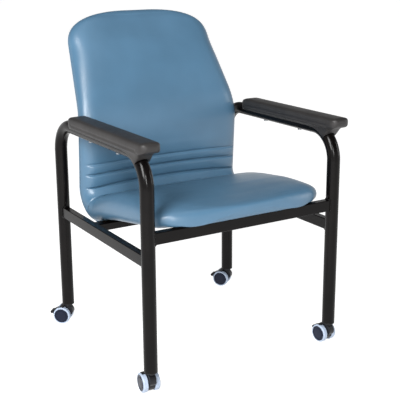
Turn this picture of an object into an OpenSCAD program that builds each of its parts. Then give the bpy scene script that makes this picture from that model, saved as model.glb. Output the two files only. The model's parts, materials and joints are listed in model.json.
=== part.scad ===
// Patient day chair on four twin-wheel castors.
// A moulded plywood shell carries a foam seat and back under one vinyl cover. It is bolted to two rails of
// a welded tube frame, whose two side frames are inverted U bends with padded arms.
// Millimetres. The origin is on the floor, in the middle of the four legs. The chair faces -Y, and +Z is up.

/* [Frame] */
// Distance between the left and the right legs, centre to centre
track_w = 560; // [540:5:600]
// Distance between the front and the rear legs, centre to centre
wheelbase = 514; // [510:2:518]
// Height of the arm tube's centre line above the floor
arm_z = 600; // [597:1:602]
// Height of the bottom end of the leg tubes
leg_end_z = 60; // [59.5:0.5:62]
// Outside diameter of the round frame tube
tube_d = 35; // [34:0.5:36]
// Wall of the round frame tube
tube_wall = 2; // [1.5:0.25:2]
// Radius of the tube bends, on the centre line
bend_r = 80; // [78:1:84]
// Height of the rectangular rails
rail_h = 30; // [28:1:30]
// Thickness of the rectangular rails
rail_t = 20; // [18:1:20]
// Wall of the rectangular rails
rail_wall = 2; // [1.5:0.5:2.5]
// Height of the top face of the front rail
front_rail_top = 415; // [413:0.5:415]
// Height of the top face of the side rails
side_rail_top = 357; // [355:0.5:358]
// How far the rear rail sits behind the middle of the chair
rear_rail_y = 81; // [80:0.5:81]

/* [Shell] */
// Gap between the arm tubes and the upholstery at its widest
arm_gap = 5.5; // [4:0.5:12]
// Half width of the back near its top, before the corners round off
top_half_w = 222; // [215:1:230]
// Thickness of the moulded plywood board
board_t = 10; // [8:0.5:10]
// Height of the middle of the board at the start of its path
nose_z = 433.4; // [433.4:0.1:435]
// Fall of the front part of the seat towards the back, in degrees
seat_fall = 9.5; // [9.4:0.1:9.6]

/* [Arm pads] */
// Width of an arm pad
pad_w = 57; // [54:1:60]
// Height of the top of an arm pad
pad_top_z = 638; // [636:1:642]

/* [Castors] */
// Diameter of the castor wheels
wheel_d = 50; // [49:0.5:50]
// Width of one castor wheel
wheel_w = 13.6; // [13:0.1:15]
// Distance from the swivel axis to the axle, seen from above
trail = 16; // [15:0.5:17]
// Headings of the trailing side: front left, front right, rear left, rear right, in degrees from +Y
headings = [-6, 6, 49, 38];

/* [Hidden] */
CORNERS = ["front_left", "front_right", "rear_left", "rear_right"];
CASTOR_PARTS = ["stem", "hood", "axle", "wheel_left", "tread_left", "wheel_right", "tread_right",
                "brake_lever", "lever_pin"];

$fn = 64;
black_paint = [0.07, 0.07, 0.075];
black_plastic = [0.05, 0.05, 0.055];
black_cloth = [0.09, 0.09, 0.09];
pad_black = [0.15, 0.14, 0.14];
zinc = [0.72, 0.73, 0.75];
birch = [0.80, 0.68, 0.48];
vinyl_blue = [0.38, 0.53, 0.64];
tread_grey = [0.72, 0.76, 0.82];
hub_navy = [0.05, 0.07, 0.13];

gap = 0.05;             // clearance between fixed parts, and of a running fit
soft_gap = 0.3;         // clearance around soft parts
through = 100;          // length of a cutter that goes right through a part
tube_r = tube_d / 2;
leg_x = track_w / 2;
leg_y = wheelbase / 2;
bend_z = arm_z - bend_r;
thread_r = 3;           // M6 screws and bolts
hole_r = 3.3;           // clearance hole for M6

// ---- Shell: one side profile that the board, the cushions, the panel, the lining and the tabs follow ----

// The path of the board's middle, from the front edge to the top edge: [length, turn in degrees] in each row.
shell_path = [[285, 0], [112, -15], [152, 118.5], [150, 0], [80, -33.4], [271, 0]];
path_start = [-leg_y - 28, nose_z];
board_from = 26;        // the board's front edge, as a run along the path
crease = 424;           // where the seat cushion meets the back cushion
half_board = board_t / 2;
board_inset = 24;       // how far the board's side edge lies inside the side of the cushions
front_lip = 16;         // how far the nose of the seat hangs below the board's middle
end_mid = 12;           // height of the tip of the rounded ends above the board's middle
side_top_r = 30;        // rounding of the cushions' side towards the sitter
side_low_r = 22;        // rounding of the cushions' side on the outer side
shell_half_w = leg_x - tube_r - arm_gap;

function run_to(i) = i == 0 ? 0 : run_to(i - 1) + shell_path[i - 1][0];
path_end = run_to(len(shell_path));
board_to = path_end - 20;

// Along the path: the rise of the face above the board's middle, and the half width before rounding.
face_rise = [[75, 37], [150, 52], [250, 57], [440, 58], [530, 48], [700, 46], [path_end, 42]];
half_width = [[0, shell_half_w - 5], [300, shell_half_w], [720, shell_half_w], [path_end, top_half_w]];
// How far the cushions reach past the board's middle on the outer side.
outer_drop = [[16, front_lip], [20, 11], [44, 11], [60, 13], [330, 13], [380, 8], [440, 9]];
// Roundings at the two ends: [length, fullness].
front_corner = [78, 2.7];
top_corner = [100, 2.8];
front_roll = [130, 2];
top_roll = [40, 2];
front_low_roll = [12, 2];
top_low_roll = [25, 2];

// The point reached after a run of s along a piece of path that turns evenly.
function advance(p, h, s, turn) =
    let (r = turn == 0 ? 0 : s / (turn * PI / 180))
    turn == 0 ? p + s * [cos(h), sin(h)] : p + r * [sin(h + turn) - sin(h), cos(h) - cos(h + turn)];

// [[y, z], heading] after a run of s along the whole path.
function path_at(s, i = 0, p = path_start, h = -seat_fall) =
    let (len = shell_path[i][0], turn = shell_path[i][1])
    s <= len || i == len(shell_path) - 1
        ? [advance(p, h, s, turn * s / len), h + turn * s / len]
        : path_at(s - len, i + 1, advance(p, h, len, turn), h + turn);

// The point at a run of s, x across, and n above the board's middle on the sitter's side.
function shell_point(s, x, n) =
    let (q = path_at(s))
    [x, q[0][0] - n * sin(q[1]), q[0][1] + n * cos(q[1])];

// Stations along the path, close together where it turns.
stations = [for (i = [0 : len(shell_path) - 1])
    let (len = shell_path[i][0], n = ceil(max(len / 45, abs(shell_path[i][1]) / 7)))
    for (k = [0 : n - 1]) run_to(i) + len * k / n];
function stations_between(a, b) = concat([a], [for (s = stations) if (s > a + 3 && s < b - 3) s], [b]);

// How full a rounding is at a distance d from its end: 0 at the end, and 1 where the rounding is over.
function fullness(d, rounding) =
    let (u = 1 - min(d / rounding[0], 1))
    pow(1 - pow(u, rounding[1]), 1 / rounding[1]);
function half_w_at(s) =
    lookup(s, half_width) * fullness(s, front_corner) * fullness(path_end - s, top_corner);
function rise_at(s) =
    end_mid + (lookup(s, face_rise) - end_mid) * fullness(s, front_roll) * fullness(path_end - s, top_roll);
function drop_at(s) =
    -end_mid + (lookup(s, outer_drop) + end_mid) * fullness(s, front_low_roll) * fullness(path_end - s, top_low_roll);

// A closed solid through a row of rings. A ring is the same left and right, and both its ends are at the
// mouth of its hollow side, so that two fans from them fill the end faces.
module loft(rings) {
    n = len(rings[0]);
    last = (len(rings) - 1) * n;
    mid = floor(n / 2);
    cap = concat([for (j = [1 : mid - 1]) [0, j, j + 1]], [[0, mid, n - 1]],
                 [for (j = [mid : n - 3]) [n - 1, j, j + 1]]);
    sides = [for (i = [0 : len(rings) - 2]) for (j = [0 : n - 1])
        let (a = i * n + j, b = i * n + (j + 1) % n)
        each [[a, a + n, b], [b, a + n, b + n]]];
    polyhedron(
        points = [for (r = rings) each r],
        faces = concat(cap, sides, [for (t = cap) [last + t[2], last + t[1], last + t[0]]]),
        convexity = 6);
}

// A sheet that follows the shell between two runs and between two heights. Its half width is the shell's
// less a margin, or a width of its own, and it may lie off the middle.
module shell_sheet(from, to, low, high, margin = 0, own_half_w = 0, x_mid = 0) {
    loft([for (s = stations_between(from, to))
        let (w = own_half_w > 0 ? own_half_w : half_w_at(s) - margin)
        [for (p = [[-w, low], [-w, high], [0, high], [w, high], [w, low]]) shell_point(s, x_mid + p[0], p[1])]]);
}

// One ring of a cushion. The board's pocket opens on the outer side, and is pocket_top high.
function cushion_ring(s, pocket_top) =
    let (w = half_w_at(s), high = rise_at(s), low = drop_at(s),
         rt = min(side_top_r, 0.55 * (low + high)),
         rl = min(side_low_r, 0.4 * (low + high)),
         mouth = max(w - board_inset + soft_gap, w / 2),
         left = concat(
            [[-mouth, pocket_top], [-mouth, -low]],
            [for (a = [270 : -22.5 : 180]) [-(w - rl) + rl * cos(a), rl - low + rl * sin(a)]],
            [for (a = [180 : -18 : 90]) [-(w - rt) + rt * cos(a), high - rt + rt * sin(a)]],
            [[-(w - rt) / 2, high + 3]]))
    [for (p = concat(left, [[0, high + 4]], [for (j = [len(left) - 1 : -1 : 0]) [-left[j][0], left[j][1]]]))
        shell_point(s, p[0], p[1])];

// The rings of a cushion between two runs: closed where there is no board, and open to it elsewhere.
function end_runs(length) = [for (k = [1 : 5]) length * (1 - cos(18 * k))];
function closed_ring(s) = cushion_ring(s, 0.5 - drop_at(s));
function open_rings(from, to) = [for (s = stations_between(from, to)) cushion_ring(s, half_board + soft_gap)];

module seat_cushion() {
    color(vinyl_blue) loft(concat(
        [for (s = end_runs(board_from - 2 * soft_gap)) closed_ring(s)],
        open_rings(board_from - soft_gap, crease - soft_gap / 2)));
}

module back_cushion() {
    runs = end_runs(path_end - board_to - 2 * soft_gap);
    color(vinyl_blue) loft(concat(
        open_rings(crease + soft_gap / 2, board_to + soft_gap),
        [for (k = [len(runs) - 1 : -1 : 0]) closed_ring(path_end - runs[k])]));
}

// Places its children on the shell, with their Z along its normal. The shell is flat between two stations.
module on_shell(s, x) {
    a = max([for (t = stations) if (t <= s) t]);
    b = min([for (t = stations) if (t > s) t]);
    start = shell_point(a, x, 0);
    facet = shell_point(b, x, 0) - start;
    translate(start + facet * (s - a) / (b - a)) rotate([atan2(facet[2], facet[1]), 0, 0]) children();
}

bolt_runs = [66, 341];          // the front and the rear bolts
bolt_x = 150;
tab_runs = [[30, 86], [306, 386]];
tab_half_w = 24;
lining_t = 1;
tab_top = -half_board - lining_t - 3 * gap - soft_gap;
tab_t = 5;
nut_r = 4;                      // barrel of a tee nut
nut_flange = [9, 1.2];          // radius and thickness of its flange
head_h = 4;
washer_t = 1.2;

module at_bolts() {
    for (s = bolt_runs) for (side = [-1, 1]) on_shell(s, side * bolt_x) children();
}

module shell_board() {
    color(birch) difference() {
        shell_sheet(board_from, board_to, -half_board, half_board, board_inset);
        at_bolts() {
            cylinder(r = nut_r + gap, h = through, center = true);
            translate([0, 0, half_board - nut_flange[1] - gap]) cylinder(r = nut_flange[0] + gap, h = 5);
        }
    }
}

module tee_nuts() {
    color(zinc) at_bolts() difference() {
        union() {
            translate([0, 0, -3]) cylinder(r = nut_r, h = half_board);
            translate([0, 0, half_board - nut_flange[1]]) cylinder(r = nut_flange[0], h = nut_flange[1]);
        }
        cylinder(r = thread_r + gap, h = through, center = true);
    }
}

module shell_bolts() {
    head_z = tab_top - tab_t - gap - washer_t;
    color(zinc) at_bolts() {
        translate([0, 0, head_z]) cylinder(r = thread_r, h = half_board - 0.5 - head_z);
        translate([0, 0, head_z]) cylinder(r = 6.2, h = washer_t);
        translate([0, 0, head_z - head_h]) cylinder(r = 5.6, h = head_h, $fn = 6);
    }
}

module shell_tabs() {
    color(black_paint) difference() {
        for (run = tab_runs) for (side = [-1, 1])
            shell_sheet(run[0], run[1], tab_top - tab_t, tab_top, own_half_w = tab_half_w,
                        x_mid = side * bolt_x);
        at_bolts() cylinder(r = hole_r, h = through, center = true);
    }
}

panel_t = 8;
cover_inset = board_inset + 2.5;    // how far the panel and the lining lie inside the side of the cushions

module back_panel() {
    color(vinyl_blue) shell_sheet(crease - 15, board_to - 4, -half_board - panel_t, -half_board - soft_gap,
                                  cover_inset);
}

module seat_lining() {
    color(black_cloth) difference() {
        shell_sheet(board_from + 1, run_to(2), -half_board - gap - lining_t, -half_board - gap, cover_inset);
        at_bolts() cylinder(r = hole_r, h = through, center = true);
    }
}

// ---- Frame ----

arm_screw_y = [-110, 50];

// Half of the inverted U of a side frame: a leg, a bend and half of the arm tube, on the +Y side.
module half_side_frame() {
    module ring() {
        difference() {
            circle(r = tube_r);
            circle(r = tube_r - tube_wall);
        }
    }
    translate([0, leg_y, leg_end_z]) linear_extrude(bend_z - leg_end_z) ring();
    translate([0, leg_y - bend_r, bend_z]) rotate([90, 0, 90]) rotate_extrude(angle = 90)
        translate([bend_r, 0]) ring();
    translate([0, 0, arm_z]) rotate([-90, 0, 0]) linear_extrude(leg_y - bend_r) ring();
}

module side_frame(side) {
    color(black_paint) translate([side * leg_x, 0, 0]) difference() {
        union() {
            half_side_frame();
            mirror([0, 1, 0]) half_side_frame();
        }
        for (y = arm_screw_y)
            translate([0, y, arm_z]) cylinder(r = hole_r, h = through, center = true);
    }
}

// A rectangular tube along X, centred on its length, with its top face at z = 0.
module rail(length, deep = rail_t, high = rail_h) {
    difference() {
        translate([-length / 2, -deep / 2, -high]) cube([length, deep, high]);
        translate([-length / 2 - 1, -deep / 2 + rail_wall, -high + rail_wall])
            cube([length + 2, deep - 2 * rail_wall, high - 2 * rail_wall]);
    }
}

module leg_cutters() {
    for (x = [-leg_x, leg_x]) for (y = [-leg_y, leg_y])
        translate([x, y, 0]) cylinder(r = tube_r + gap, h = bend_z);
}

module side_rail(side) {
    color(black_paint) difference() {
        translate([side * leg_x, 0, side_rail_top]) rotate([0, 0, 90]) rail(wheelbase);
        leg_cutters();
    }
}

module front_rail() {
    color(black_paint) difference() {
        translate([0, -leg_y, front_rail_top]) rail(track_w);
        leg_cutters();
    }
}

// The rear rail is the same tube laid flat, level with the bottom of the side rails.
module rear_rail() {
    color(black_paint) translate([0, rear_rail_y, side_rail_top - rail_h + rail_t])
        rail(track_w - rail_t - 2 * gap, deep = rail_h, high = rail_t);
}

// ---- Arms ----

pad_front = -289;               // tip of the nose
pad_rear = 147;
pad_low_half_w = 22.5;          // half width at the lip along the tube
pad_corner_r = 20;              // rounding of the corners, seen from above
pad_edge_r = 10;                // rounding of the top edges
plate = [24, 260, 3];
plate_y = -30;
plate_z = arm_z + tube_r + 4.5;
nose_r = 13;

// The pad's outline from the side: [y, z].
pad_side = concat(
    [for (a = [90 : 15 : 240]) [pad_front + nose_r + nose_r * cos(a), pad_top_z - nose_r + nose_r * sin(a)]],
    [[-276, arm_z + 10], [-260, arm_z + 7], [-246, arm_z - 9]],
    [for (a = [135 : -5 : 90]) [bend_r - leg_y + bend_r * cos(a), bend_z + bend_r * sin(a)]],
    [[pad_rear, arm_z + 1]],
    [for (a = [0 : 15 : 75]) [pad_rear - 26 + 26 * cos(a), pad_top_z - 24 + 24 * sin(a)]],
    [[pad_rear - 40, pad_top_z]]);

// The pad's outline from the front: [x, z] on the +X side, from the bottom up.
pad_half_section = concat(
    [[pad_low_half_w, arm_z - 40], [pad_low_half_w, arm_z + 4], [pad_w / 2 - 2, arm_z + 9],
     [pad_w / 2, arm_z + 13]],
    [for (a = [0 : 15 : 90])
        [pad_w / 2 + pad_edge_r * (cos(a) - 1), pad_top_z - 1 + pad_edge_r * (sin(a) - 1)]]);
pad_section = concat(
    pad_half_section,
    [[0, pad_top_z]],
    [for (j = [len(pad_half_section) - 1 : -1 : 0]) [-pad_half_section[j][0], pad_half_section[j][1]]]);

// A bar along the tube's path from the front bend to beyond the pad's rear end.
module arm_tube_cutter(r) {
    translate([0, bend_r - leg_y, arm_z]) rotate([-90, 0, 0]) cylinder(r = r, h = wheelbase);
    translate([0, bend_r - leg_y, bend_z]) rotate([90, 0, 90]) rotate_extrude(angle = 180)
        translate([bend_r, 0]) circle(r = r);
}

module arm_pad(side) {
    color(pad_black) translate([side * leg_x, 0, 0]) difference() {
        intersection() {
            translate([-pad_w, 0, 0]) rotate([90, 0, 90]) linear_extrude(2 * pad_w) polygon(pad_side);
            translate([0, 400, 0]) rotate([90, 0, 0]) linear_extrude(800) polygon(pad_section);
            linear_extrude(pad_top_z + 10) translate([0, pad_front]) pad_plan(pad_rear - pad_front);
        }
        arm_tube_cutter(tube_r + soft_gap);
        translate([-plate[0] / 2 - gap, plate_y - plate[1] / 2 - gap, plate_z - gap])
            cube(plate + 2 * gap * [1, 1, 1]);
        for (y = arm_screw_y) translate([0, y, arm_z]) cylinder(r = hole_r, h = plate_z - arm_z + 1);
    }
}

// The pad's outline from above, from y = 0 back, with a round at each corner.
module pad_plan(length) {
    r = pad_corner_r;
    translate([-pad_w / 2, r]) square([pad_w, length - 2 * r]);
    translate([-pad_w / 2 + r, 0]) square([pad_w - 2 * r, length]);
    for (x = [-pad_w / 2 + r, pad_w / 2 - r]) for (y = [r, length - r]) translate([x, y]) circle(r = r);
}

module arm_plate(side) {
    color(zinc) translate([side * leg_x, 0, 0]) difference() {
        translate([-plate[0] / 2, plate_y - plate[1] / 2, plate_z]) cube(plate);
        for (y = arm_screw_y)
            translate([0, y, plate_z]) cylinder(r = thread_r + gap, h = through, center = true);
    }
}

module arm_screws() {
    head_z = arm_z - tube_r - 3;
    color(zinc) for (side = [-1, 1]) for (y = arm_screw_y) translate([side * leg_x, y, head_z]) {
        cylinder(r = 5.5, h = 3 - gap);
        cylinder(r = thread_r, h = plate_z + plate[2] - head_z);
    }
}

// ---- Legs and castors ----

wheel_r = wheel_d / 2;
web_half_w = 8.8;                       // half width of a castor's middle body
boss_half_w = web_half_w - 0.4;         // half width of its round front, around the swivel axis
neck_r = boss_half_w - 0.4;             // the round neck above that
wheel_in = web_half_w + 0.4;            // inner face of a wheel
wheel_out = wheel_in + wheel_w;
axle_r = 3;
hub_r = 21;                             // radius of a hub at the tread
hood_r = 22.3;                          // radius of the middle body around the axle
boss_r = 15.5;
boss_up = 12;                           // height of the round front's middle above the axle
brim = [wheel_r + 0.6, wheel_r + 2];    // inner and outer radius of the rim over the wheels
brim_arc = [74, 104];
socket_flange = 2;
socket_h = 34;
hood_top = leg_end_z - socket_flange - 1;
collar = [12.5, 54];                    // radius and lowest height of the hood's top disc
stem_r = 5.5;                           // the part of the stem in the leg socket
journal_r = 5;                          // the part of the stem that the hood swivels on
journal_z = 29;                         // its lower end
lever_pivot = [10, 13];                 // behind and above the axle
lever_pin_r = 1.5;
lever_barrel_r = 3.7;
lever_half_w = 4.9;
paddle_half_w = 8.4;
lever_slot = [[8.5, -14], [32, 54]];    // lower corner and size of the space for the lever, from the side

module at_leg(c) {
    translate([c % 2 == 0 ? -leg_x : leg_x, c < 2 ? -leg_y : leg_y, 0]) children();
}

// Places its children at a castor: Z is the swivel axis, and the wheels trail towards +Y.
module at_castor(c) {
    at_leg(c) rotate([0, 0, headings[c]]) children();
}

// Places its children at the axle: Z runs along the axle towards +X, X points back and Y points up.
module at_axle(c) {
    at_castor(c) translate([0, trail, wheel_r]) rotate([90, 0, 90]) children();
}

module leg_socket(c) {
    color(black_plastic) at_leg(c) difference() {
        union() {
            translate([0, 0, leg_end_z - socket_flange]) cylinder(r = tube_r, h = socket_flange - gap);
            translate([0, 0, leg_end_z - socket_flange]) cylinder(r = tube_r - tube_wall - gap, h = socket_h);
        }
        translate([0, 0, leg_end_z]) cylinder(r = stem_r + gap, h = through, center = true);
    }
}

module castor_stem(c) {
    flange_z = leg_end_z - socket_flange - gap;
    color(zinc) at_leg(c) {
        translate([0, 0, journal_z]) cylinder(r = journal_r, h = flange_z - journal_z);
        translate([0, 0, flange_z - 0.8]) cylinder(r = 8, h = 0.8);
        translate([0, 0, flange_z]) cylinder(r = stem_r, h = 30);
    }
}

// A slice of a ring about the axle, between two angles from straight back, over a half width.
module ring_slice(inner, outer, from, to, half_w) {
    rotate([0, 0, from]) rotate_extrude(angle = to - from)
        translate([inner, -half_w]) square([outer - inner, 2 * half_w]);
}

module castor_hood(c) {
    slot_half_w = lever_half_w + soft_gap;
    color(black_plastic) difference() {
        union() {
            at_axle(c) {
                cylinder(r = hood_r, h = 2 * web_half_w, center = true);
                translate([-trail, boss_up]) cylinder(r = boss_r, h = 2 * boss_half_w, center = true);
                ring_slice(hood_r - 6, brim[0] + 0.5, brim_arc[0] + 1, brim_arc[1] - 1, web_half_w - 0.2);
                ring_slice(brim[0], brim[1], brim_arc[0], brim_arc[1], wheel_out - 3);
            }
            at_castor(c) {
                translate([0, 0, wheel_r]) cylinder(r = neck_r, h = hood_top - wheel_r);
                translate([0, 0, collar[1]]) cylinder(r = collar[0], h = hood_top - collar[1]);
            }
        }
        at_castor(c) translate([0, 0, journal_z - 0.5]) cylinder(r = journal_r + gap, h = through);
        at_axle(c) {
            cylinder(r = axle_r + gap, h = through, center = true);
            translate([lever_slot[0][0], lever_slot[0][1], -slot_half_w])
                cube([lever_slot[1][0], lever_slot[1][1], 2 * slot_half_w]);
            translate(lever_pivot) {
                cylinder(r = lever_barrel_r + 0.7, h = 2 * slot_half_w, center = true);
                cylinder(r = lever_pin_r + gap, h = through, center = true);
            }
        }
    }
}

module castor_axle(c) {
    color(zinc) at_axle(c) cylinder(r = axle_r, h = 2 * (wheel_out - 2.6), center = true);
}

module castor_lever_pin(c) {
    color(zinc) at_axle(c) translate(lever_pivot)
        cylinder(r = lever_pin_r, h = 2 * web_half_w - 0.2, center = true);
}

// A hub, turned about the axle: [radius, distance from the castor's middle]. Its face has one ring groove.
module castor_wheel(c, side) {
    face = wheel_out;
    bore_r = axle_r + gap;
    groove = [14.5, 16.5];
    color(hub_navy) at_axle(c) wheel_side(side) rotate_extrude() polygon([
        [bore_r, wheel_in], [hub_r - 3, wheel_in], [hub_r - gap, wheel_in + 1], [hub_r - gap, face - 1],
        [hub_r - 1, face - 0.2], [groove[1] + 0.5, face - 0.2], [groove[1], face - 1], [groove[0], face - 1],
        [groove[0] - 0.5, face], [4, face + 0.4], [0, face + 0.4], [0, face - 2.2], [bore_r, face - 2.2]]);
}

module castor_tread(c, side) {
    round_r = 3.2;
    out = wheel_out - 0.3;
    color(tread_grey) at_axle(c) wheel_side(side) rotate_extrude() polygon(concat(
        [[hub_r, wheel_in + 0.3], [wheel_r - 1.5, wheel_in + 0.3], [wheel_r, wheel_in + 1.8]],
        [for (a = [0 : 15 : 90]) [wheel_r - round_r + round_r * cos(a), out - round_r + round_r * sin(a)]],
        [[hub_r, out]]));
}

// Turns a wheel made for the +X side of a castor round to its other side.
module wheel_side(side) {
    rotate([side > 0 ? 0 : 180, 0, 0]) children();
}

module castor_brake_lever(c) {
    color(black_plastic) at_axle(c) difference() {
        union() {
            translate(lever_pivot) cylinder(r = lever_barrel_r, h = 2 * lever_half_w, center = true);
            translate([0, 0, -lever_half_w]) linear_extrude(2 * lever_half_w)
                polygon([[10, 16.5], [15, 18.2], [21, 17], [26, 13.5], [31, 10.5], [35, 9], [37, 6.5],
                         [36.5, 3], [33, -0.5], [28, -4.5], [24, -7.5], [20, -7], [15, 4], [11, 9.5]]);
            translate([0, 0, -paddle_half_w]) linear_extrude(2 * paddle_half_w)
                polygon([[29, 12], [34, 10.4], [37.4, 7.4], [38, 4], [35, 0.2], [31, 2]]);
        }
        translate(lever_pivot) cylinder(r = lever_pin_r + gap, h = through, center = true);
    }
}

side_frame(-1);  // side_frame_left
side_frame(1);  // side_frame_right
side_rail(-1);  // side_rail_left
side_rail(1);  // side_rail_right
front_rail();
rear_rail();
shell_tabs();
shell_bolts();
tee_nuts();
shell_board();
seat_cushion();
back_cushion();
back_panel();
seat_lining();
arm_pad(-1);  // arm_pad_left
arm_pad(1);  // arm_pad_right
arm_plate(-1);  // arm_plate_left
arm_plate(1);  // arm_plate_right
arm_screws();
for (c = [0 : 3]) {
    leg_socket(c);
    castor_stem(c);
    castor_hood(c);
    castor_axle(c);
    castor_wheel(c, -1);
    castor_tread(c, -1);
    castor_wheel(c, 1);
    castor_tread(c, 1);
    castor_brake_lever(c);
    castor_lever_pin(c);
}
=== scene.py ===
"""Looks of a patient chair: blue vinyl seat and back, black tube frame, arm pads and twin-wheel castors."""
import json
import math

import bpy
import numpy as np
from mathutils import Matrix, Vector


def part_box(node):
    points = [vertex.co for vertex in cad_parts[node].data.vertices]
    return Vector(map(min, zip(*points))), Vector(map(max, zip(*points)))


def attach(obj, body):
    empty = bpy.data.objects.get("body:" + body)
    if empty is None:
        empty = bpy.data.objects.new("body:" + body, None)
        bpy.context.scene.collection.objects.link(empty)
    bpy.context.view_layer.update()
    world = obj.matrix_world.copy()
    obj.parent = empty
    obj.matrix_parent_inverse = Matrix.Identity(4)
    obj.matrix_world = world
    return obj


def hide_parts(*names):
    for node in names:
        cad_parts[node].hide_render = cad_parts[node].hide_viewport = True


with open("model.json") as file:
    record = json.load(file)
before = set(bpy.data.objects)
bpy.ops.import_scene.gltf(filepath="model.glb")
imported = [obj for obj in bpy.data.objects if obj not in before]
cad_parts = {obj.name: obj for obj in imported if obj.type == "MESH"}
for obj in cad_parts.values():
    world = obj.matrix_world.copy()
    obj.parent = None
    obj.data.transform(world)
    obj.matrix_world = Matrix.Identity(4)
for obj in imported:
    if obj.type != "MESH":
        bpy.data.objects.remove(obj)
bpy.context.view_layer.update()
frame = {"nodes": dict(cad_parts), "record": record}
nodes = frame["nodes"]
scene = bpy.context.scene


# ---- Node materials ----

class Shader:
    """A node material with one Principled shader, and short calls for the nodes that feed it."""

    def __init__(self, name):
        self.material = bpy.data.materials.new(name)
        self.material.use_nodes = True
        self.tree = self.material.node_tree
        self.main = self.tree.nodes["Principled BSDF"]
        self.place = self.add("ShaderNodeTexCoord").outputs["Object"]

    def add(self, kind, **inputs):
        node = self.tree.nodes.new(kind)
        for name, value in inputs.items():
            self.put(node.inputs[name.replace("_", " ")], value)
        return node

    def put(self, socket, value):
        if isinstance(value, bpy.types.NodeSocket):
            self.tree.links.new(value, socket)
        else:
            socket.default_value = value

    def set(self, **inputs):
        for name, value in inputs.items():
            self.put(self.main.inputs[name.replace("_", " ")], value)

    def noise(self, scale, detail, stretch=None):
        place = self.place
        if stretch:
            mapping = self.add("ShaderNodeMapping", Vector=place)
            mapping.inputs["Scale"].default_value = stretch
            place = mapping.outputs["Vector"]
        return self.add("ShaderNodeTexNoise", Vector=place, Scale=scale, Detail=detail).outputs["Fac"]

    def cells(self, scale):
        node = self.add("ShaderNodeTexVoronoi", Vector=self.place, Scale=scale)
        node.feature = "DISTANCE_TO_EDGE"
        return node.outputs["Distance"]

    def ramp(self, fac, stops):
        """A colour ramp with (place, colour) stops."""
        node = self.add("ShaderNodeValToRGB", Fac=fac)
        while len(node.color_ramp.elements) < len(stops):
            node.color_ramp.elements.new(0.5)
        for element, (place, colour) in zip(node.color_ramp.elements, stops):
            element.position = place
            element.color = (*colour, 1)
        return node.outputs["Color"]

    def span(self, fac, low, high):
        return self.add("ShaderNodeMapRange", Value=fac, To_Min=low, To_Max=high).outputs["Result"]

    def bump(self, height, depth, strength, under=None):
        node = self.add("ShaderNodeBump", Height=height, Distance=depth, Strength=strength)
        if under is not None:
            self.put(node.inputs["Normal"], under)
        return node.outputs["Normal"]


def shades(colour, *factors):
    return [tuple(c * f for c in colour) for f in factors]


def vinyl(name, colour):
    """Coated upholstery vinyl: a fine pebble grain, with slow changes of tone and gloss."""
    m = Shader(name)
    dark, light = shades(colour, 0.93, 1.06)
    m.set(Base_Color=m.ramp(m.noise(9, 2), [(0.3, dark), (0.7, light)]),
          Roughness=m.span(m.noise(30, 2), 0.33, 0.42), Coat_Weight=0.15, Coat_Roughness=0.28)
    grain = m.bump(m.cells(900), 0.00018, 0.35)
    m.set(Normal=m.bump(m.noise(60, 2), 0.0005, 0.2, under=grain))
    return m.material


def powder_coat(name):
    """Black gloss powder coat with a slight orange peel."""
    m = Shader(name)
    tone = m.ramp(m.noise(14, 2), [(0.35, (0.0014, 0.0010, 0.0010)), (0.7, (0.0030, 0.0022, 0.0020))])
    m.set(Base_Color=tone, Roughness=m.span(m.noise(40, 2), 0.2, 0.28),
          Specular_IOR_Level=0.10, Coat_Weight=0.10, Coat_Roughness=0.05)
    m.set(Normal=m.bump(m.noise(420, 2), 0.0002, 0.12))
    return m.material


def pad_skin(name):
    """Self-skinned black foam: satin, with a fine matt grain."""
    m = Shader(name)
    m.set(Base_Color=m.ramp(m.noise(12, 3), [(0.3, (0.013, 0.012, 0.012)), (0.7, (0.022, 0.020, 0.0195))]),
          Roughness=m.span(m.noise(45, 3), 0.42, 0.55), Specular_IOR_Level=0.36)
    grain = m.bump(m.cells(1500), 0.0001, 0.35)
    m.set(Normal=m.bump(m.noise(700, 3), 0.00018, 0.4, under=grain))
    return m.material


def moulded(name, colour, low, high, grain=0.00008, coat=0.0, gloss=0.5):
    """Moulded plastic or rubber with a faint grain and small changes of tone."""
    m = Shader(name)
    dark, light = shades(colour, 0.88, 1.1)
    m.set(Base_Color=m.ramp(m.noise(60, 3), [(0.3, dark), (0.7, light)]),
          Roughness=m.span(m.noise(160, 3), low, high), Coat_Weight=coat, Coat_Roughness=0.15,
          Specular_IOR_Level=gloss)
    m.set(Normal=m.bump(m.noise(1100, 2), grain, 0.5))
    return m.material


def zinc(name):
    """Dull zinc plating on steel, with a fine mottle."""
    m = Shader(name)
    m.set(Base_Color=m.ramp(m.noise(130, 4), [(0.3, (0.26, 0.27, 0.28)), (0.7, (0.40, 0.41, 0.42))]),
          Metallic=1.0, Roughness=m.span(m.noise(240, 3), 0.28, 0.45))
    m.set(Normal=m.bump(m.noise(900, 2), 0.00006, 0.5))
    return m.material


def plywood(name):
    """Bare birch veneer, with its grain along X."""
    m = Shader(name)
    rings = m.noise(22, 4, stretch=(1.0, 9.0, 9.0))
    tone = m.ramp(rings, [(0.3, (0.40, 0.26, 0.13)), (0.55, (0.58, 0.41, 0.23)), (0.75, (0.66, 0.50, 0.30))])
    m.set(Base_Color=tone, Roughness=m.span(rings, 0.5, 0.65))
    m.set(Normal=m.bump(rings, 0.0002, 0.3))
    return m.material


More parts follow.
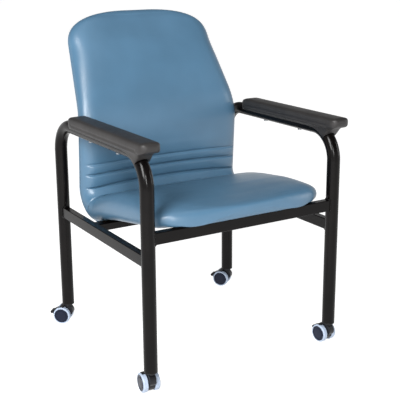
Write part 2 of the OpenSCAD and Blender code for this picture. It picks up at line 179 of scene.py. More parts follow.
def woven(name):
    """Thin black dust cloth with a plain weave."""
    m = Shader(name)
    threads = 420.0
    across = m.add("ShaderNodeTexWave", Vector=m.place, Scale=threads)
    along = m.add("ShaderNodeTexWave", Vector=m.place, Scale=threads)
    along.bands_direction = "Y"
    weave = m.add("ShaderNodeMath")
    weave.operation = "MULTIPLY"
    m.put(weave.inputs[0], across.outputs["Fac"])
    m.put(weave.inputs[1], along.outputs["Fac"])
    tone = m.ramp(m.noise(50, 3), [(0.3, (0.012, 0.012, 0.013)), (0.7, (0.024, 0.023, 0.024))])
    m.set(Base_Color=tone, Roughness=0.92)
    m.set(Normal=m.bump(weave.outputs["Value"], 0.0003, 0.6))
    return m.material


BLUE = (0.052, 0.118, 0.188)
CASTOR_BLACK = (0.008, 0.008, 0.010)
NAVY = (0.004, 0.007, 0.020)
TREAD_GREY = (0.32, 0.38, 0.48)

# The finish of each material slot in the record.
looks = {
    "black_powder_coat": powder_coat("powder_coat"),
    "zinc_steel": zinc("zinc"),
    "birch_plywood": plywood("plywood"),
    "blue_vinyl_foam": vinyl("vinyl", BLUE),
    "blue_vinyl_panel": vinyl("vinyl_panel", BLUE),
    "black_lining": woven("dust_cloth"),
    "black_arm_pad": pad_skin("pad_skin"),
    "black_castor_plastic": moulded("castor_plastic", CASTOR_BLACK, 0.32, 0.45, gloss=0.25),
    "navy_hub": moulded("hub_plastic", NAVY, 0.25, 0.38, coat=0.05, gloss=0.2),
    "grey_tread": moulded("tread_rubber", TREAD_GREY, 0.42, 0.55),
}
for part in frame["record"]["subparts"]:
    mesh = nodes[part["node"]].data
    mesh.materials.clear()
    mesh.materials.append(looks[part["material_slot"]])


# ---- Meshes ----

def new_piece(name, verts, faces, slot, body="frame"):
    """A smooth mesh piece that rides on a body and takes its finish from a material slot."""
    mesh = bpy.data.meshes.new(name)
    mesh.from_pydata([tuple(v) for v in verts], [], faces)
    mesh.validate()
    piece = bpy.data.objects.new(name, mesh)
    scene.collection.objects.link(piece)
    mesh.materials.append(looks[slot])
    mesh.shade_smooth()
    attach(piece, body)
    return piece


def points_of(piece):
    co = np.empty(len(piece.data.vertices) * 3)
    piece.data.vertices.foreach_get("co", co)
    return co.reshape(-1, 3)


def set_points(piece, points):
    piece.data.vertices.foreach_set("co", np.ascontiguousarray(points, float).ravel())
    piece.data.update()


def normals_of(piece):
    out = np.empty(len(piece.data.vertices) * 3)
    piece.data.vertices.foreach_get("normal", out)
    return out.reshape(-1, 3)


def subdivide(piece):
    modifier = piece.modifiers.new("smooth", "SUBSURF")
    modifier.levels = 1
    modifier.render_levels = 1


def grid_faces(rows, size, closed, flip=False):
    """Quads between rows of points, each row an open strip or a closed ring of the given size."""
    faces = []
    for i in range(rows - 1):
        for j in range(size if closed else size - 1):
            near, far = i * size, (i + 1) * size
            k = (j + 1) % size
            quad = (near + j, near + k, far + k, far + j)
            faces.append((quad[0], quad[3], quad[2], quad[1]) if flip else quad)
    return faces


def edge_pairs(faces):
    """Each pair of neighbouring points once."""
    pairs = {(min(a, b), max(a, b)) for face in faces for a, b in zip(face, face[1:] + face[:1])}
    return np.array(sorted(pairs))


def relaxed(values, pairs, rounds):
    """Values at the points, each drawn again and again towards the mean of its neighbours."""
    count = np.bincount(pairs.ravel(), minlength=len(values)).astype(float)
    for number in range(rounds):
        total = np.zeros_like(values)
        np.add.at(total, pairs[:, 0], values[pairs[:, 1]])
        np.add.at(total, pairs[:, 1], values[pairs[:, 0]])
        values = values + 0.5 * (total / np.maximum(count, 1)[:, None] - values)
    return values


def bell(distance, width):
    return np.exp(-(distance / width) ** 2)


def smooth_step(value, low, high):
    t = np.clip((value - low) / (high - low), 0, 1)
    return t * t * (3 - 2 * t)


def run_cloth(piece, held, pressure, gravity, stiffness, frames):
    """Where Blender's cloth moves each point of the piece to, while the held ones stay."""
    group = piece.vertex_groups.new(name="held")
    group.add([int(i) for i in held], 1.0, "REPLACE")
    modifier = piece.modifiers.new("cloth", "CLOTH")
    cloth = modifier.settings
    cloth.quality = 5
    cloth.mass = 0.3
    cloth.tension_stiffness = stiffness
    cloth.compression_stiffness = stiffness
    cloth.shear_stiffness = stiffness / 3
    cloth.bending_stiffness = stiffness / 10
    cloth.use_pressure = pressure > 0
    cloth.uniform_pressure_force = pressure
    cloth.effector_weights.gravity = gravity
    cloth.vertex_group_mass = "held"
    modifier.collision_settings.use_collision = False
    for number in range(1, frames + 1):
        scene.frame_set(number)
    blown = piece.evaluated_get(bpy.context.evaluated_depsgraph_get())
    moved = np.empty(len(piece.data.vertices) * 3)
    blown.data.vertices.foreach_get("co", moved)
    piece.modifiers.remove(modifier)
    piece.vertex_groups.remove(group)
    scene.frame_set(1)
    return moved.reshape(-1, 3)


def capped(rest, moved, cap):
    """The moved points, none of them further than cap from where it was at rest."""
    shift = moved - rest
    far = np.linalg.norm(shift, axis=1)
    return rest + shift * (np.minimum(far, cap) / np.maximum(far, 1e-9))[:, None]


WELD_WAVE = 0.13        # how much a weld bead's ripples swell it
WELD_PITCH = 0.0025     # from one ripple to the next


def tubes(name, paths, radius, slot, closed=False, sides=8, wave=0.0):
    """Round beads along paths. Open ones taper at their ends, and wave gives them a weld's ripples."""
    end_taper = 0.45
    verts, faces = [], []
    for path in paths:
        path = np.array(path, float)
        count = len(path)
        step = np.linalg.norm(np.diff(path, axis=0), axis=1)
        length = np.concatenate([[0], np.cumsum(step)])
        base = len(verts)
        for i in range(count):
            ahead = path[(i + 1) % count] if closed or i + 1 < count else path[i]
            behind = path[i - 1] if closed or i > 0 else path[i]
            along = ahead - behind
            along /= np.linalg.norm(along)
            helper = np.array([0, 0, 1.0]) if abs(along[2]) < 0.8 else np.array([0, 1.0, 0])
            one = np.cross(helper, along)
            one /= np.linalg.norm(one)
            two = np.cross(along, one)
            taper = 1.0 if closed or 0 < i < count - 1 else end_taper
            r = radius * taper * (1 + wave * math.sin(2 * math.pi * length[i] / WELD_PITCH))
            for k in range(sides):
                a = 2 * math.pi * k / sides
                verts.append(path[i] + r * (math.cos(a) * one + math.sin(a) * two))
        for i in range(count if closed else count - 1):
            here, there = base + i * sides, base + (i + 1) % count * sides
            for k in range(sides):
                turn = (k + 1) % sides
                faces.append((here + k, there + k, there + turn, here + turn))
        if not closed:
            last = base + (count - 1) * sides
            faces.append(tuple(base + k for k in range(sides)))
            faces.append(tuple(last + k for k in range(sides - 1, -1, -1)))
    return new_piece(name, verts, faces, slot)


# ---- The shell's side profile: the CAD's path, with a little more foam towards the front edge ----

# (length, turn in degrees) of each stretch of the board's middle line, from the front edge to the top.
SHELL_PATH = [(0.285, 0), (0.112, -15), (0.152, 118.5), (0.150, 0), (0.080, -33.4), (0.271, 0)]
PATH_START = (-0.285, 0.4334)           # (y, z)
PATH_HEADING = -9.5
PATH_END = sum(length for length, turn in SHELL_PATH)
BOARD_FROM = 0.026
BOARD_TO = PATH_END - 0.020
BOARD_INSET = 0.024
HALF_BOARD = 0.005
END_MID = 0.012         # how far above the board's middle the rounded ends close
SOFT_GAP = 0.0003       # between the board and the pocket round it
SHELL_HALF_W = 0.257

# (run, distance): the face above the board's middle, half the width, and the outer side below the middle.
FACE_RISE = [(0, 0.0375), (0.075, 0.0425), (0.150, 0.052), (0.250, 0.057), (0.440, 0.058), (0.530, 0.048),
             (0.700, 0.046), (PATH_END, 0.042)]
HALF_WIDTH = [(0, SHELL_HALF_W - 0.005), (0.300, SHELL_HALF_W), (0.720, SHELL_HALF_W), (PATH_END, 0.222)]
OUTER_DROP = [(0.016, 0.016), (0.020, 0.011), (0.044, 0.011), (0.060, 0.013), (0.330, 0.013), (0.380, 0.008),
              (0.440, 0.009)]
# (reach, fullness) of the rounding at each end, in plan and from the side.
FRONT_CORNER = (0.078, 2.7)
TOP_CORNER = (0.100, 2.8)
FRONT_ROLL = (0.118, 2.35)
TOP_ROLL = (0.040, 2.0)
FRONT_LOW_ROLL = (0.012, 2.0)
TOP_LOW_ROLL = (0.025, 2.0)


def from_table(run, table):
    return np.interp(run, [a for a, b in table], [b for a, b in table])


def fullness(distance, rounding):
    """From 0 at a rounded end to 1 where its rounding stops."""
    u = 1 - np.minimum(np.asarray(distance, float) / rounding[0], 1)
    return np.power(1 - np.power(u, rounding[1]), 1 / rounding[1])


def half_w_at(run):
    return from_table(run, HALF_WIDTH) * fullness(run, FRONT_CORNER) * fullness(PATH_END - run, TOP_CORNER)


def rise_at(run):
    return END_MID + (from_table(run, FACE_RISE) - END_MID) * fullness(run, FRONT_ROLL) \
        * fullness(PATH_END - run, TOP_ROLL)


def drop_at(run):
    return -END_MID + (from_table(run, OUTER_DROP) + END_MID) * fullness(run, FRONT_LOW_ROLL) \
        * fullness(PATH_END - run, TOP_LOW_ROLL)


def path_at(run):
    """(y, z, heading in radians) on the board's middle, after one run along the path."""
    y, z = PATH_START
    heading = math.radians(PATH_HEADING)
    for i, (length, turn) in enumerate(SHELL_PATH):
        here = run if i == len(SHELL_PATH) - 1 else min(run, length)
        turned = math.radians(turn) * here / length
        if abs(turn) < 1e-9:
            y, z = y + here * math.cos(heading), z + here * math.sin(heading)
        else:
            radius = length / math.radians(turn)
            y += radius * (math.sin(heading + turned) - math.sin(heading))
            z += radius * (math.cos(heading) - math.cos(heading + turned))
        heading += turned
        run -= here
        if run <= 1e-12:
            break
    return y, z, heading


def on_shell(run, x, rise):
    """The point at a run, x across, and a rise above the board's middle on the sitter's side."""
    y, z, heading = path_at(run)
    return (x, y - rise * math.sin(heading), z + rise * math.cos(heading))


# ---- Upholstery ----

# Lines across the seat and back, from the bottom up: run at the middle, how much lower it is at the sides,
# depth, and half width.
CREASE = (0.475, 0.015, 0.0085, 0.0050)
PLEATS = [(0.558, 0.014, 0.0062, 0.0024), (0.592, 0.008, 0.0058, 0.0024), (0.619, 0.005, 0.0026, 0.0028)]
LINES = [CREASE] + PLEATS
ROLLS = [0.0045, 0.0050, 0.0042, 0.0012]        # how far the foam swells above each line
LAST_ROLL = 0.040                               # width of the swelling above the last pleat
SHRINK = 0.004          # how much lower the face of the cover starts, before it is blown up
COVER_SKIN = 0.002      # the same for its sides
FACE_SIDE = (0.056, 0.038, 2.35)                # rounding of the face's side: across, down and its fullness
LOW_SIDE = 0.022        # rounding of the side where it turns under
FLAT_POINTS = 27        # points of a half ring on the flat of the face
SIDE_POINTS = 14        # points on the rounding of its side
LOW_POINTS = 7          # points on the rounding that turns under
FACE_COUNT = FLAT_POINTS + SIDE_POINTS + 1      # points of a half ring on the sitter's side or the flank
WRAP_COUNT = FACE_COUNT + LOW_POINTS            # and those round to the outer side
COVER_HALF_LIMIT = 0.2605                       # the cover comes no nearer to the arm tubes
CLOTH_CAP = 0.012


def line_run(line, x):
    return line[0] - line[1] * np.clip(np.abs(x) / SHELL_HALF_W, 0, 1) ** 2.2


def cover_ring(run):
    """Half of one ring of the cover, from the middle of the face round to the middle of the pocket."""
    half_w = float(half_w_at(run)) - COVER_SKIN
    ends = float(fullness(run, FRONT_ROLL)) * float(fullness(PATH_END - run, TOP_ROLL))
    high = float(rise_at(run)) - SHRINK * ends
    low = float(drop_at(run))
    tall = low + high
    round_x = min(FACE_SIDE[0], 0.5 * half_w)
    round_n = min(FACE_SIDE[1], 0.58 * tall)
    low_r = min(LOW_SIDE, 0.40 * tall)
    mouth = max(half_w + COVER_SKIN - BOARD_INSET + SOFT_GAP, half_w / 2)
    has_pocket = BOARD_FROM - 0.001 < run < BOARD_TO + 0.001
    pocket = HALF_BOARD + SOFT_GAP if has_pocket else 0.0012 - low
    ring = [(x, high) for x in np.linspace(0, half_w - round_x, FLAT_POINTS + 1)[:-1]]
    for angle in np.linspace(90, 0, SIDE_POINTS):
        c, s = math.cos(math.radians(angle)), math.sin(math.radians(angle))
        ring.append((half_w - round_x + round_x * max(c, 0) ** (2 / FACE_SIDE[2]),
                     high - round_n + round_n * max(s, 0) ** (2 / FACE_SIDE[2])))
    ring.append((half_w, (high - round_n + low_r - low) / 2))
    for angle in np.linspace(0, -90, LOW_POINTS):
        a = math.radians(angle)
        ring.append((half_w - low_r + low_r * math.cos(a), low_r - low + low_r * math.sin(a)))
    ring += [(x, -low) for x in np.linspace(half_w - low_r, mouth, 3)[1:]]
    ring += [(mouth, n) for n in np.linspace(-low, pocket, 4)[1:]]
    ring += [(x, pocket) for x in np.linspace(mouth, 0, 9)[1:]]
    return ring


def cover_runs():
    """Runs of the cover's rings: close together at the rounded ends and at the lines across it."""
    reach, clear = 0.100, 0.0014
    fine_step, coarse_step, near_line = 0.0022, 0.0080, 0.010
    curl = [reach * (1 - math.cos(math.radians(a))) for a in np.linspace(3, 87, 20)]
    front = [s for s in curl if abs(s - BOARD_FROM) > clear] + [BOARD_FROM - 0.0013, BOARD_FROM - 0.0004]
    top = [s for s in front if abs(s - 0.020) > clear and s < 0.098] + [0.0213, 0.0196, 0.0187]
    marks = [line[0] - line[1] * k for line in LINES for k in (0, 0.5, 1)]
    middle = [max(front)]
    while middle[-1] < PATH_END - 0.104:
        fine = any(abs(middle[-1] - mark) < near_line for mark in marks)
        middle.append(middle[-1] + (fine_step if fine else coarse_step))
    return sorted(front) + middle[1:] + sorted(PATH_END - s for s in top)


def build_cover():
    """The cover's mesh, and each point's run, place across and index round its ring."""
    verts, about = [], []
    runs = cover_runs()
    for run in runs:
        half = cover_ring(run)
        loop = half + [(-x, n) for x, n in half[-2:0:-1]]
        for j, (x, n) in enumerate(loop):
            verts.append(on_shell(run, x, n))
            about.append((run, x, min(j, len(loop) - j)))
    size = len(loop)
    faces = grid_faces(len(runs), size, closed=True)
    last = (len(runs) - 1) * size
    faces.append(tuple(range(size - 1, -1, -1)))
    faces.append(tuple(last + j for j in range(size)))
    return np.array(verts), faces, np.array(about)


def corner_tuck(points, around, sign):
    """How deep the pinched fold at one front corner of the seat is at each point."""
    foot = np.array([sign * 0.224, -0.240])
    along = np.array([-sign * 0.42, 0.90])
    along /= np.linalg.norm(along)
    rel = points[:, :2] - foot
    off = rel[:, 0] * along[1] - rel[:, 1] * along[0]
    up = np.clip((points[:, 2] - 0.408) / 0.066, 0, 1)
    deep = (0.0040 * bell(off, 0.005) + 0.0008 * bell(off, 0.012)) * (1 - up) ** 1.6
    near = (points[:, 1] < -0.15) & (np.sign(points[:, 0]) == sign) & (around < WRAP_COUNT)
    return deep * near


def carve(piece, about):
    """Presses the stitched pleats, the crease and the corner tucks into the blown-up cover."""
    points, normals = points_of(piece), normals_of(piece)
    run, across, around = about.T
    side = np.abs(across)
    rise = np.zeros(len(points))
    at_line = [line_run(line, across) for line in LINES]
    for line, place in zip(PLEATS, at_line[1:]):
        rise -= line[2] * bell(run - place, line[3])
    tops = at_line[1:] + [at_line[-1] + LAST_ROLL]
    for low, high, puff in zip(at_line, tops, ROLLS):
        t = np.clip((run - low) / (high - low), 0, 1)
        rise += puff * np.sqrt(np.maximum(4 * t * (1 - t), 0)) * (0.75 + 0.25 * t)
    rise *= 1 - smooth_step(side, 0.226, 0.252)
    rise -= CREASE[2] * bell(run - at_line[0], CREASE[3]) * (1 - 0.8 * smooth_step(side, 0.205, 0.25))
    points += normals * (rise * (around < FACE_COUNT))[:, None]
    for sign in (-1, 1):
        points -= normals * corner_tuck(points, around, sign)[:, None]
    give = 0.004
    edge = COVER_HALF_LIMIT - give
    wide = np.abs(points[:, 0])
    soft = edge + give * np.tanh((wide - edge) / give)
    points[:, 0] = np.where(wide > edge, np.sign(points[:, 0]) * soft, points[:, 0])
    set_points(piece, points)


def make_cover():
    """One vinyl cover over the seat's and the back's foam, blown up as the foam fills it."""
    verts, faces, about = build_cover()
    cover = new_piece("seat_and_back_cover", verts, faces, "blue_vinyl_foam")
    run, across, around = about.T
    rest = points_of(cover)
    end_hold, line_hold, side_free = 0.012, 0.0016, 0.225
    hold = (around > WRAP_COUNT - 3) | (run < end_hold) | (run > PATH_END - end_hold)
    for line in LINES[:3]:
        hold |= (np.abs(run - line_run(line, across)) < line_hold) & (around < FACE_COUNT) \
            & (np.abs(across) < side_free)
    moved = run_cloth(cover, np.nonzero(hold)[0], pressure=4, gravity=0, stiffness=12, frames=20)
    shift = capped(rest, moved, CLOTH_CAP) - rest
    set_points(cover, rest + relaxed(shift, edge_pairs(faces[:-2]), 40))
    carve(cover, about)
    subdivide(cover)
    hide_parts("seat_cushion", "back_cushion")


make_cover()


# ---- Back panel, piping, dust cover ----

PANEL_FROM, PANEL_TO = 0.402, BOARD_TO - 0.0008
PANEL_IN, PANEL_OUT = -0.0054, -0.0130          # its inner and outer face, below the board's middle
PANEL_INSET = 0.0262
PANEL_CROWN = 0.0022
PANEL_END_ROUND = (0.011, 2.0)
PIPING_R = 0.0026


def make_back_panel():
    """The padded panel on the outer side of the back: soft edges and a slight crown."""
    rows = 76
    verts = []
    for run in [PANEL_FROM + (PANEL_TO - PANEL_FROM) * u for u in np.linspace(0, 1, rows)]:
        near_end = min(run - PANEL_FROM, PANEL_TO - run)
        lift = float(fullness(near_end + 0.0006, PANEL_END_ROUND))
        half = float(half_w_at(run)) - PANEL_INSET
        face = [(u, PANEL_OUT - PANEL_CROWN * (1 - abs(u) ** 3)) for u in np.linspace(-0.965, 0.965, 33)]
        left = [(-1, PANEL_IN), (-1, -0.0085), (-0.990, -0.0112)]
        right = [(-u, n) for u, n in reversed(left)]
        inside = [(u, PANEL_IN) for u in (0.5, 0, -0.5)]
        ring = left + face + right + inside
        verts += [on_shell(run, u * half, PANEL_IN + (n - PANEL_IN) * lift) for u, n in ring]
    size = len(ring)
    last = (rows - 1) * size
    faces = grid_faces(rows, size, closed=True, flip=True)
    faces.append(tuple(range(size)))
    faces.append(tuple(last + j for j in range(size - 1, -1, -1)))
    panel = new_piece("back_panel_cover", verts, faces, "blue_vinyl_panel")
    subdivide(panel)
    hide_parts("back_panel")


def make_piping():
    """Welt piping along the seam between the panel and the cover."""
    runs = np.linspace(PANEL_FROM + 0.001, PANEL_TO + 0.0026, 110)
    rise = -0.0112
    inset = float(PANEL_INSET) - 0.0014
    side = [on_shell(s, float(half_w_at(s)) - inset, rise) for s in runs]
    top = [on_shell(runs[-1], x, rise) for x in np.linspace(side[-1][0], -side[-1][0], 40)[1:-1]]
    other = [(-x, y, z) for x, y, z in side[::-1]]
    bottom = [on_shell(runs[0], x, rise) for x in np.linspace(-side[0][0], side[0][0], 60)[1:-1]]
    loop = side + top + other + bottom
    tubes("back_piping", [loop], PIPING_R, "blue_vinyl_panel", closed=True, sides=10)


LINING_FROM, LINING_TO = BOARD_FROM + 0.0015, 0.3965
LINING_INSET = 0.0262
LINING_RISE = -0.0054
LINING_THICK = 0.0005
LINING_SAG = 0.0038
STAPLE_STEP = 0.036
STAPLE_WIRE = 0.0005
TABS = [(0.030, 0.086), (0.306, 0.386)]         # the runs that the welded tabs cover
TAB_X, TAB_HALF_W = 0.150, 0.024
TAB_CLEAR = 0.008


def thickened(points, normals, faces, rim, thick):
    """A closed shell of the given thickness round a sheet: its points and faces."""
    count = len(points)
    both = np.vstack([points - normals * thick / 2, points + normals * thick / 2])
    shell = [tuple(f[::-1]) for f in faces]
    shell += [tuple(v + count for v in f) for f in faces]
    shell += [(a, b, b + count, a + count) for a, b in zip(rim, rim[1:] + rim[:1])]
    return [tuple(v) for v in both], shell


def make_staples():
    """Wire staples along the edges of the dust cover."""
    paths = []
    half_crown, leg, below, edge_gap = 0.0050, 0.0016, 0.0064, 0.005

    def staple(run, x, turn):
        ends = [(-half_crown, leg), (-half_crown, 0), (half_crown, 0), (half_crown, leg)]
        paths.append([on_shell(run + a * turn[1], x + a * turn[0], -below + b) for a, b in ends])

    for run in (LINING_FROM + edge_gap, LINING_TO - edge_gap):
        wide = float(half_w_at(run)) - LINING_INSET - 0.012
        count = int(2 * wide / STAPLE_STEP)
        for k in range(count + 1):
            x = -wide + 2 * wide * k / count
            if abs(abs(x) - TAB_X) > TAB_HALF_W + TAB_CLEAR:
                staple(run, x, (0.94, 0.34))
    for k in range(9):
        run = 0.060 + STAPLE_STEP * k
        for sign in (-1, 1):
            staple(run, sign * (float(half_w_at(run)) - LINING_INSET - edge_gap), (0.34, 0.94))
    return tubes("dust_cover_staples", paths, STAPLE_WIRE, "zinc_steel", sides=6)


def make_dust_cover():
    """The black cloth under the seat: stapled along its edges, and sagging a little between."""
    rows, cols = 56, 72
    verts, run_of, x_of = [], [], []
    for run in np.linspace(LINING_FROM, LINING_TO, rows):
        half = float(half_w_at(run)) - LINING_INSET
        for u in np.linspace(-1, 1, cols):
            verts.append(on_shell(run, u * half, LINING_RISE))
            run_of.append(run)
            x_of.append(u * half)
    faces = grid_faces(rows, cols, closed=False)
    run_of, x_of = np.array(run_of), np.array(x_of)
    index = np.arange(rows * cols)
    row, col = index // cols, index % cols
    at_end = (row == 0) | (row == rows - 1)
    edge = at_end | (col == 0) | (col == cols - 1)
    along = np.where(at_end, x_of, run_of)
    stapled = edge & (np.abs((along / STAPLE_STEP) % 1 - 0.5) > 0.30)
    under_tab = np.zeros(len(verts), bool)
    for low, high in TABS:
        under_tab |= (run_of > low - TAB_CLEAR) & (run_of < high + TAB_CLEAR) \
            & (np.abs(np.abs(x_of) - TAB_X) < TAB_HALF_W + TAB_CLEAR)
    corner = edge & ((row < 2) | (row > rows - 3)) & ((col < 2) | (col > cols - 3))
    sheet = new_piece("seat_dust_cover", verts, faces, "black_lining")
    rest = points_of(sheet)
    hold = np.nonzero(stapled | under_tab | corner)[0]
    moved = run_cloth(sheet, hold, pressure=0, gravity=1, stiffness=6, frames=14)
    moved[:, 2] = np.minimum(moved[:, 2], rest[:, 2])
    set_points(sheet, capped(rest, moved, LINING_SAG))
    rim = list(range(cols))
    rim += [i * cols + cols - 1 for i in range(1, rows)]
    rim += [(rows - 1) * cols + j for j in range(cols - 2, -1, -1)]
    rim += [i * cols for i in range(rows - 2, 0, -1)]
    points, shell = thickened(points_of(sheet), normals_of(sheet), faces, rim, LINING_THICK)
    sheet.data.clear_geometry()
    sheet.data.from_pydata(points, [], shell)
    sheet.data.validate()
    sheet.data.shade_smooth()
    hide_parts("seat_lining")
    staples = make_staples()


make_back_panel()
make_piping()
make_dust_cover()


# ---- Arm pads ----

PAD_VOXEL = 0.0024
PAD_MIDDLE_X = 0.280            # the arm tube's middle, which the pad lies along
PAD_FLANK = 0.0205              # further out than this from there is the pad's flank
BEAD_UP = 0.0345                # the moulded bead, above the pad's lowest point
BEAD = (0.0016, 0.0024)         # its height and half width
GROOVE_UP = 0.0058              # the groove above the bead
GROOVE = (0.0014, 0.0022)


def remeshed(source, voxel):
    """The points and faces of a CAD object's mesh, made again from even quads."""
    rough = bpy.data.objects.new("rough", source.data.copy())
    scene.collection.objects.link(rough)
    weld = rough.modifiers.new("weld", "WELD")
    weld.merge_threshold = 0.00002
    remesh = rough.modifiers.new("remesh", "REMESH")
    remesh.mode = "VOXEL"
    remesh.voxel_size = voxel
    bpy.context.view_layer.update()
    made = rough.evaluated_get(bpy.context.evaluated_depsgraph_get())
    fine = made.to_mesh()
    co = np.empty(len(fine.vertices) * 3)
    fine.vertices.foreach_get("co", co)
    faces = [tuple(f.vertices) for f in fine.polygons]
    made.to_mesh_clear()
    bpy.data.objects.remove(rough)
    return co.reshape(-1, 3), faces


def make_arm_pad(side, sign):
    """A moulded arm pad: the CAD solid with every edge rounded, and a bead along its lower lip."""
    node = "arm_pad_" + side
    low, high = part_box(node)
    points, faces = remeshed(nodes[node], PAD_VOXEL)
    pad = new_piece(node + "_skin", relaxed(points, edge_pairs(faces), 16), faces, "black_arm_pad")
    points, normals = points_of(pad), normals_of(pad)
    up = points[:, 2] - low.z - BEAD_UP
    lip = BEAD[0] * bell(up, BEAD[1]) - GROOVE[0] * bell(up - GROOVE_UP, GROOVE[1])
    flank = (np.abs(points[:, 0] - sign * PAD_MIDDLE_X) > PAD_FLANK) \
        & (points[:, 1] > low.y + 0.035) & (points[:, 1] < high.y - 0.030)
    points += normals * (lip * flank * np.abs(normals[:, 0]))[:, None]
    set_points(pad, points)
    subdivide(pad)
    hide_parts("arm_pad_" + side)


make_arm_pad("left", -1)
make_arm_pad("right", 1)


# ---- Welds ----

RAIL_BEAD = 0.0019
REAR_RAIL_BEAD = 0.0018
TAB_BEAD = 0.0021
BEAD_LIFT = 0.0004              # from the tube's wall to a bead's middle
BEAD_GROW = 0.0007              # from a rail's outline to it


def rectangle(half_a, half_b):
    """Points round a rectangle with rounded corners, as (a, b) from its middle."""
    round_r, step = 0.002, 0.0006
    out = []
    for corner, (sa, sb) in enumerate(((1, 1), (-1, 1), (-1, -1), (1, -1))):
        for k in range(5):
            angle = math.radians(90 * corner + 22.5 * k)
            out.append((sa * (half_a - round_r) + round_r * math.cos(angle),
                        sb * (half_b - round_r) + round_r * math.sin(angle)))
    dense = []
    for (a0, b0), (a1, b1) in zip(out, out[1:] + out[:1]):
        count = max(1, int(math.hypot(a1 - a0, b1 - b0) / step))
        dense += [(a0 + (a1 - a0) * k / count, b0 + (b1 - b0) * k / count) for k in range(count)]
    return dense


def middle_and_half(node):
    """The middle of a node's box, and half its size."""
    low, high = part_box(node)
    return (low + high) / 2, (high - low) / 2


def weld(name, path, bead):
    tubes(name, [path], bead, "black_powder_coat", closed=True, wave=WELD_WAVE)


def make_welds():
    """Rippled beads where the rails meet the legs, and where the rear rail meets the side rails."""
    tube_r = middle_and_half("side_frame_left")[1].x

    def wall(a):
        """How far the leg tube's wall stands from its axis, a to the side of it."""
        return math.sqrt(tube_r ** 2 - a * a) + BEAD_LIFT

    for side, sign in (("left", -1), ("right", 1)):
        centre, half = middle_and_half("side_rail_" + side)
        ring = rectangle(half.x + BEAD_GROW, half.z + BEAD_GROW)
        for end, way in (("front", -1), ("rear", 1)):
            leg = middle_and_half(f"{end}_{side}_leg_socket")[0]
            path = [(centre.x + a, leg.y - way * wall(a), centre.z + b) for a, b in ring]
            weld(f"weld_side_rail_{end}_{side}", path, RAIL_BEAD)
        centre, half = middle_and_half("front_rail")
        leg = middle_and_half(f"front_{side}_leg_socket")[0]
        ring = rectangle(half.y + BEAD_GROW, half.z + BEAD_GROW)
        path = [(leg.x - sign * wall(a), leg.y + a, centre.z + b) for a, b in ring]
        weld(f"weld_front_rail_{side}", path, RAIL_BEAD)
        centre, half = middle_and_half("rear_rail")
        ring = rectangle(half.y + BEAD_GROW, half.z + BEAD_GROW)
        path = [(sign * (half.x - BEAD_LIFT), centre.y + a, centre.z + b) for a, b in ring]
        weld(f"weld_rear_rail_{side}", path, REAR_RAIL_BEAD)
    tab_half = TAB_HALF_W - 0.004
    inward = 0.0008
    paths = []
    for node, edge in (("front_rail", "rear"), ("rear_rail", "front"), ("rear_rail", "rear")):
        low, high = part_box(node)
        y = high.y - inward if edge == "rear" else low.y + inward
        for sign in (-1, 1):
            across = np.linspace(-tab_half, tab_half, 60)
            paths.append([(sign * TAB_X + x, y, high.z + inward) for x in across])
    tubes("weld_shell_tabs", paths, TAB_BEAD, "black_powder_coat", wave=WELD_WAVE)


make_welds()


# ---- Softer edges on the CAD parts ----

def soften(node, width, segments=2):
    """Small rounds on a CAD part's hard edges. Its own mesh stays as it is."""
    part = nodes[node]
    join = part.modifiers.new("weld", "WELD")
    join.merge_threshold = 0.00001
    bevel = part.modifiers.new("bevel", "BEVEL")
    bevel.width = width
    bevel.segments = segments
    bevel.limit_method = "ANGLE"
    bevel.angle_limit = math.radians(38)
    bevel.use_clamp_overlap = True
    bevel.harden_normals = False
    shade = part.modifiers.new("shade", "WEIGHTED_NORMAL")
    shade.keep_sharp = False


for name in ("side_rail_left", "side_rail_right", "front_rail", "rear_rail"):
    soften(name, 0.0018, segments=3)
for name in ("shell_tabs", "arm_plate_left", "arm_plate_right"):
    soften(name, 0.0006)
for corner in ("front_left", "front_right", "rear_left", "rear_right"):
    soften(corner + "_castor_hood", 0.0005)
    soften(corner + "_castor_brake_lever", 0.0009, segments=3)
    soften(corner + "_leg_socket", 0.0005)
    soften(corner + "_castor_wheel_left", 0.0003)
    soften(corner + "_castor_wheel_right", 0.0003)


# ---- Camera, lights and floor ----

camera = bpy.data.objects.new("camera", bpy.data.cameras.new("camera"))
scene.collection.objects.link(camera)
camera.location = (-1.1794, -1.9679, 1.0433)
camera.rotation_euler = (1.3177, 0.0077, -0.5419)
camera.data.lens = 77.35
camera.data.sensor_width = 36
camera.data.shift_x = 0.0169
camera.data.shift_y = -0.0498
scene.camera = camera


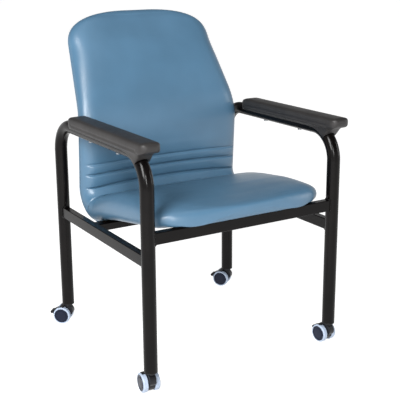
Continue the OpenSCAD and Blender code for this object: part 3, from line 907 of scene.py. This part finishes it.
def soft_light(name, place, aim, size, power):
    """A rectangular area light that faces its aim."""
    light = bpy.data.lights.new(name, "AREA")
    light.shape = "RECTANGLE"
    light.size, light.size_y = size
    light.energy = power
    lamp = bpy.data.objects.new(name, light)
    scene.collection.objects.link(lamp)
    lamp.location = place
    lamp.rotation_euler = (Vector(aim) - Vector(place)).to_track_quat("-Z", "Y").to_euler()


soft_light("key_left", (-2.30, -1.60, 2.30), (0, 0.1, 0.65), (1.1, 1.9), 165)
soft_light("front", (-1.45, -3.0, 1.5), (0, 0, 0.55), (0.22, 1.3), 52)
soft_light("rim_right", (2.8, -1.5, 1.2), (0, 0, 0.55), (0.3, 1.6), 14)
soft_light("overhead", (0.0, -0.6, 3.2), (0, 0, 0.4), (1.8, 1.8), 8)


def make_world():
    """A pale studio: bright along the horizon, and dimmer overhead."""
    world = bpy.data.worlds.new("studio")
    world.use_nodes = True
    tree = world.node_tree
    way = tree.nodes.new("ShaderNodeTexCoord")
    split = tree.nodes.new("ShaderNodeSeparateXYZ")
    tree.links.new(way.outputs["Generated"], split.inputs["Vector"])
    ramp = tree.nodes.new("ShaderNodeValToRGB")
    tree.links.new(split.outputs["Z"], ramp.inputs["Fac"])
    low, high = ramp.color_ramp.elements
    low.position, low.color = 0.12, (0.96, 0.96, 0.96, 1)
    high.position, high.color = 0.42, (0.12, 0.12, 0.12, 1)
    tree.links.new(ramp.outputs["Color"], tree.nodes["Background"].inputs["Color"])
    return world


scene.world = make_world()
scene.view_settings.view_transform = "Standard"


def make_floor():
    """A wide pale floor, with enough light of its own to read as white."""
    reach = 30.0
    corners = [(-reach, -reach, 0), (reach, -reach, 0), (reach, reach, 0), (-reach, reach, 0)]
    mesh = bpy.data.meshes.new("floor")
    mesh.from_pydata(corners, [], [(0, 1, 2, 3)])
    floor = bpy.data.objects.new("floor", mesh)
    scene.collection.objects.link(floor)
    m = Shader("floor_paper")
    tone = m.ramp(m.noise(3, 2), [(0.3, (0.34, 0.34, 0.34)), (0.7, (0.36, 0.36, 0.36))])
    m.set(Base_Color=tone, Roughness=0.9, Emission_Color=(1.0, 1.0, 1.0, 1.0), Emission_Strength=0.92)
    mesh.materials.append(m.material)


make_floor()
